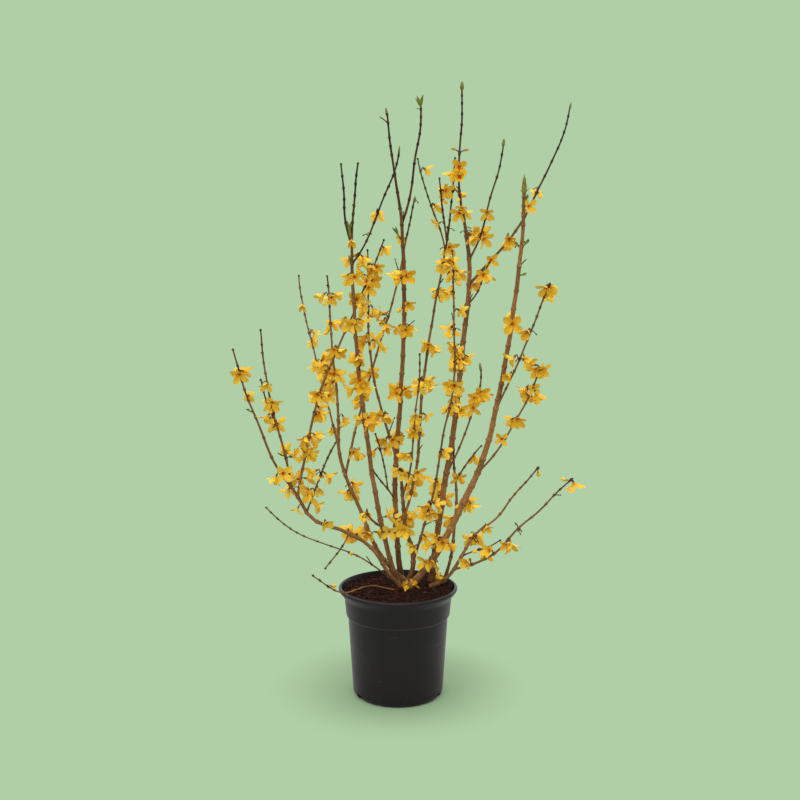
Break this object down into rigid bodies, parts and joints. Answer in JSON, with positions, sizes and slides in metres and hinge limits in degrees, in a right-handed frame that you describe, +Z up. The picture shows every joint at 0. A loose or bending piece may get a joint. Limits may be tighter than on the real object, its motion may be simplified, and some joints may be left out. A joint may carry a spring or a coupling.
{
  "type": "potted forsythia shrub",
  "caption": "Forsythia shrub in yellow flower: bare upright and arching stems with sprays of four-petalled blossom, growing in soil in a round tapered nursery pot.",
  "frame": {"origin": "centre of the pot's flat underside", "axes": "+Z up along the pot's axis; -Y is the shrub's front, +X is to the right seen from the front"},
  "size_m": [0.4162, 0.2689, 0.7561],
  "materials": {
    "pot": "black moulded plastic, satin",
    "soil": "moist, fibrous, dark reddish brown",
    "bark": "reddish-tan bark with small lenticels",
    "spray": "golden-yellow blossom on thin brown twigs"
  },
  "bodies": {
    "root": {"bough_low": "bark", "pot": "pot", "potting_soil": "soil", "spray_back": "spray", "spray_centre": "spray", "spray_centre_low": "spray", "spray_centre_side": "spray", "spray_heart": "spray", "spray_heart_cross": "spray", "spray_heart_front": "spray", "spray_heart_tall": "spray", "spray_heart_thin": "spray", "spray_high": "spray", "spray_high_inner": "spray", "spray_left": "spray", "spray_low": "spray", "spray_low_inner": "spray", "spray_low_reach": "spray", "spray_low_spur": "spray", "spray_low_wire": "spray", "spray_outer": "spray", "spray_outer_reach": "spray", "spray_right": "spray", "spray_right_low": "spray", "spray_right_outer": "spray", "spray_side": "spray", "spray_side_far": "spray", "spray_side_twig": "spray", "spray_trailing": "spray", "spray_wire": "spray", "sprig_back_1": "spray", "sprig_centre_1": "spray", "sprig_centre_2": "spray", "sprig_heart_1": "spray", "sprig_heart_2": "spray", "sprig_high_1": "spray", "sprig_high_2": "spray", "sprig_high_3": "spray", "sprig_high_4": "spray", "sprig_left_1": "spray", "sprig_low_1": "spray", "sprig_outer_1": "spray", "sprig_outer_2": "spray", "sprig_right_1": "spray", "sprig_right_2": "spray", "sprig_right_3": "spray", "stem_back": "bark", "stem_centre": "bark", "stem_heart": "bark", "stem_high": "bark", "stem_left": "bark", "stem_low": "bark", "stem_outer": "bark", "stem_right": "bark", "stem_side": "bark"}
  },
  "joints": []
}
